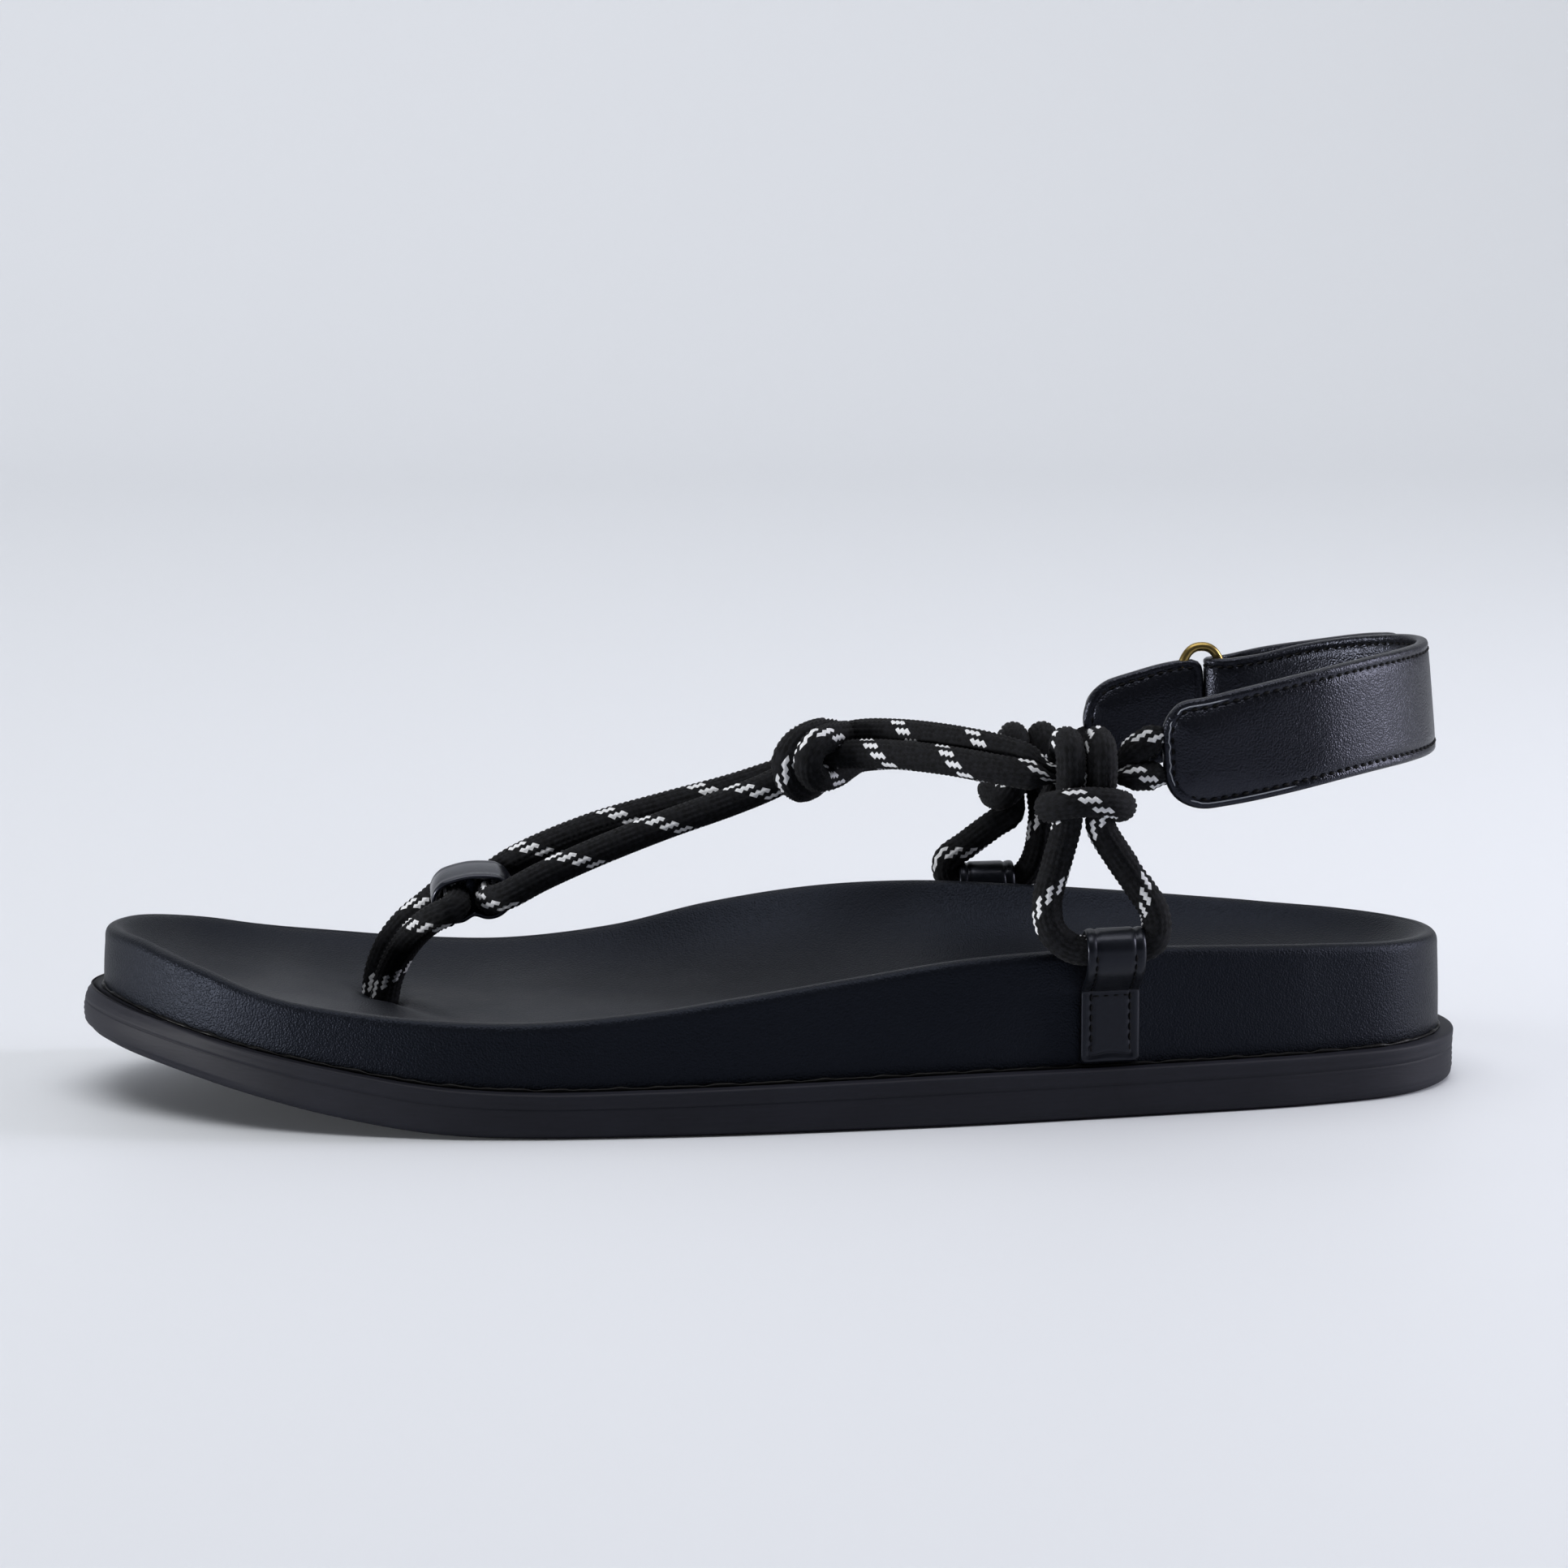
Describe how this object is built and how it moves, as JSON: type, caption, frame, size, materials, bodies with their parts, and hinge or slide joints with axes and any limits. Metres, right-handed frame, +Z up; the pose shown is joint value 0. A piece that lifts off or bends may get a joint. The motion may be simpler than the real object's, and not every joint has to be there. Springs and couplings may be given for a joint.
{
  "type": "rope sandal",
  "caption": "Left rope sandal: a wrapped footbed on a rubber outsole, a knotted rope upper with a toe post and side loops, and a leather heel strap with a ring.",
  "frame": {"origin": "middle of the sandal's length and width, on the ground under the sole", "axes": "-X towards the toe, +X towards the heel, +Y the inner side of the left foot, +Z up"},
  "size_m": [0.2612, 0.0962, 0.0841],
  "materials": {
    "outsole_rubber": "matte dark grey, moulded",
    "footbed_leather": "black, finely pebbled, soft sheen",
    "braided_rope": "black braid with off-white flecks, matte",
    "braided_rope_toe": "black braid with off-white flecks, matte",
    "braided_rope_outer_loop": "black braid with off-white flecks, matte",
    "braided_rope_inner_loop": "black braid with off-white flecks, matte",
    "keeper_leather": "black, smooth, glossy",
    "outer_tab_leather": "black, finely pebbled, soft sheen",
    "inner_tab_leather": "black, finely pebbled, soft sheen",
    "strap_leather": "black, pebbled, soft sheen",
    "ring_tab_leather": "black, pebbled, soft sheen",
    "aged_brass": "antique brass, worn"
  },
  "bodies": {
    "root": {"outsole": "outsole_rubber", "footbed": "footbed_leather", "toe_post_cord": "braided_rope_toe", "toe_keeper": "keeper_leather", "instep_rope": "braided_rope", "side_loop_lateral": "braided_rope_outer_loop", "side_loop_medial": "braided_rope_inner_loop", "loop_tab_lateral": "outer_tab_leather", "loop_tab_medial": "inner_tab_leather", "heel_strap": "strap_leather", "ring_tab": "ring_tab_leather", "strap_ring": "aged_brass"}
  },
  "joints": []
}
